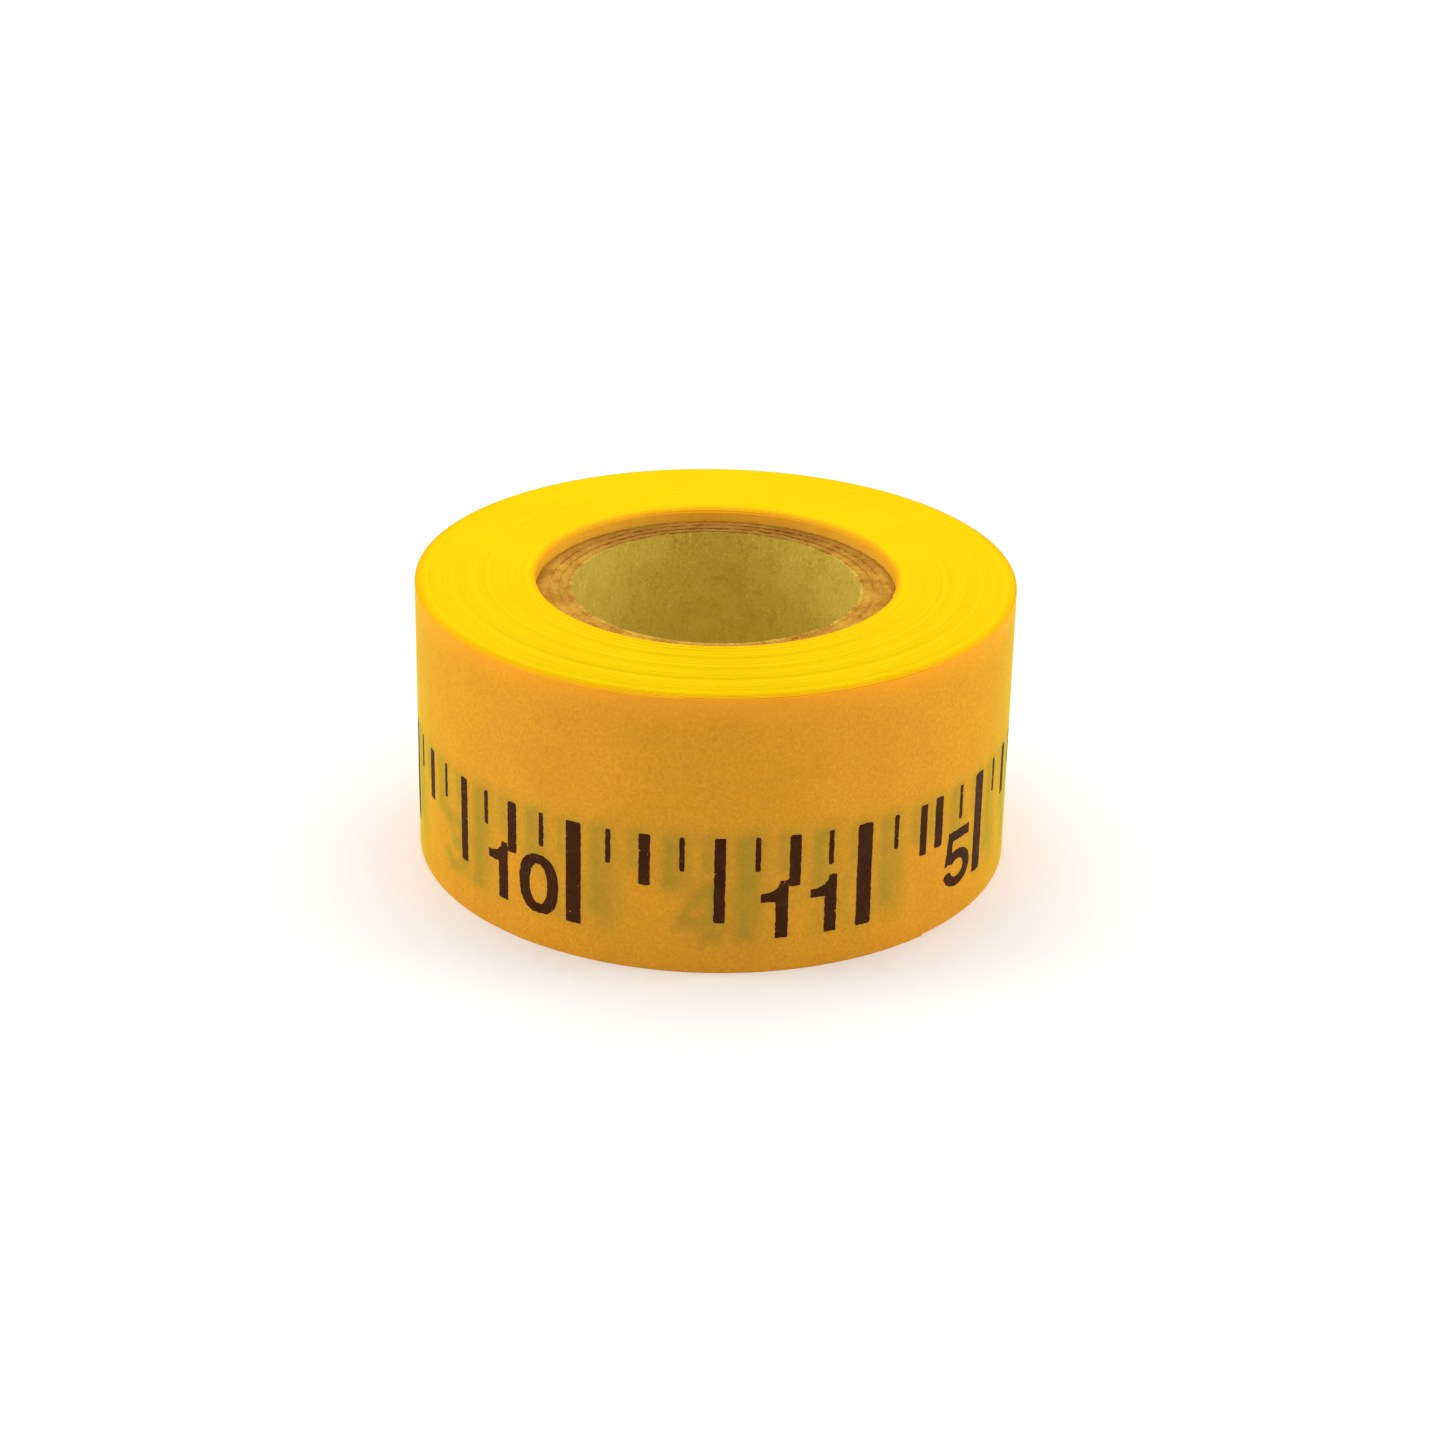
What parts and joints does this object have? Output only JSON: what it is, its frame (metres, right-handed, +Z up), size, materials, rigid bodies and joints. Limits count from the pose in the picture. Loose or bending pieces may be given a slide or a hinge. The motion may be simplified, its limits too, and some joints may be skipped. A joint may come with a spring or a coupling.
{
  "type": "adhesive ruler tape roll",
  "caption": "Roll of self-adhesive printed inch ruler tape wound on a paperboard core, with a free end that peels back.",
  "frame": {"origin": "centre of the bottom face, on the core's axis, at the tape's lower edge", "axes": "+Z up the core's axis; -Y is the front, where the free end starts to lift; angles grow towards +X"},
  "size_m": [0.053, 0.0531, 0.0254],
  "materials": {
    "yellow_film": "satin printed vinyl film",
    "adhesive": "tacky, slightly clear",
    "ink": "matte print",
    "paperboard": "raw grey-brown board",
    "kraft_liner": "smooth kraft paper"
  },
  "bodies": {
    "roll": {"core_inner_liner": "kraft_liner", "core_ply_1": "paperboard", "core_ply_2": "paperboard", "core_ply_3": "paperboard", "core_outer_liner": "kraft_liner", "wound_turns": "yellow_film", "last_turn_film": "yellow_film", "last_turn_adhesive": "adhesive", "last_turn_marks": "ink", "last_turn_numbers": "ink", "under_tail_marks": "ink", "under_tail_numbers": "ink"},
    "tail_1": {"tail_film_1": "yellow_film", "tail_adhesive_1": "adhesive", "tail_print_1": "ink"},
    "tail_2": {"tail_film_2": "yellow_film", "tail_adhesive_2": "adhesive", "tail_print_2": "ink"},
    "tail_3": {"tail_film_3": "yellow_film", "tail_adhesive_3": "adhesive", "tail_print_3": "ink"},
    "tail_4": {"tail_film_4": "yellow_film", "tail_adhesive_4": "adhesive", "tail_print_4": "ink"},
    "tail_5": {"tail_film_5": "yellow_film", "tail_adhesive_5": "adhesive", "tail_print_5": "ink"},
    "tail_6": {"tail_film_6": "yellow_film", "tail_adhesive_6": "adhesive", "tail_print_6": "ink"}
  },
  "joints": [
    {"name": "peel_1", "type": "hinge", "parent": "roll", "child": "tail_1", "pos_m": [-0.00084, -0.02659, 0.0127], "axis": [0, 0, -1], "range_deg": [0, 24]},
    {"name": "peel_2", "type": "hinge", "parent": "tail_1", "child": "tail_2", "pos_m": [0.00233, -0.0265, 0.0127], "axis": [0, 0, -1], "range_deg": [0, 24]},
    {"name": "peel_3", "type": "hinge", "parent": "tail_2", "child": "tail_3", "pos_m": [0.00547, -0.02603, 0.0127], "axis": [0, 0, -1], "range_deg": [0, 24]},
    {"name": "peel_4", "type": "hinge", "parent": "tail_3", "child": "tail_4", "pos_m": [0.00853, -0.0252, 0.0127], "axis": [0, 0, -1], "range_deg": [0, 24]},
    {"name": "peel_5", "type": "hinge", "parent": "tail_4", "child": "tail_5", "pos_m": [0.01147, -0.024, 0.0127], "axis": [0, 0, -1], "range_deg": [0, 24]},
    {"name": "peel_6", "type": "hinge", "parent": "tail_5", "child": "tail_6", "pos_m": [0.01424, -0.02246, 0.0127], "axis": [0, 0, -1], "range_deg": [0, 24]}
  ],
  "couplings": [
    {"joint": "peel_2", "follows": "peel_1", "ratio": 1},
    {"joint": "peel_3", "follows": "peel_1", "ratio": 1},
    {"joint": "peel_4", "follows": "peel_1", "ratio": 1},
    {"joint": "peel_5", "follows": "peel_1", "ratio": 1},
    {"joint": "peel_6", "follows": "peel_1", "ratio": 1}
  ]
}
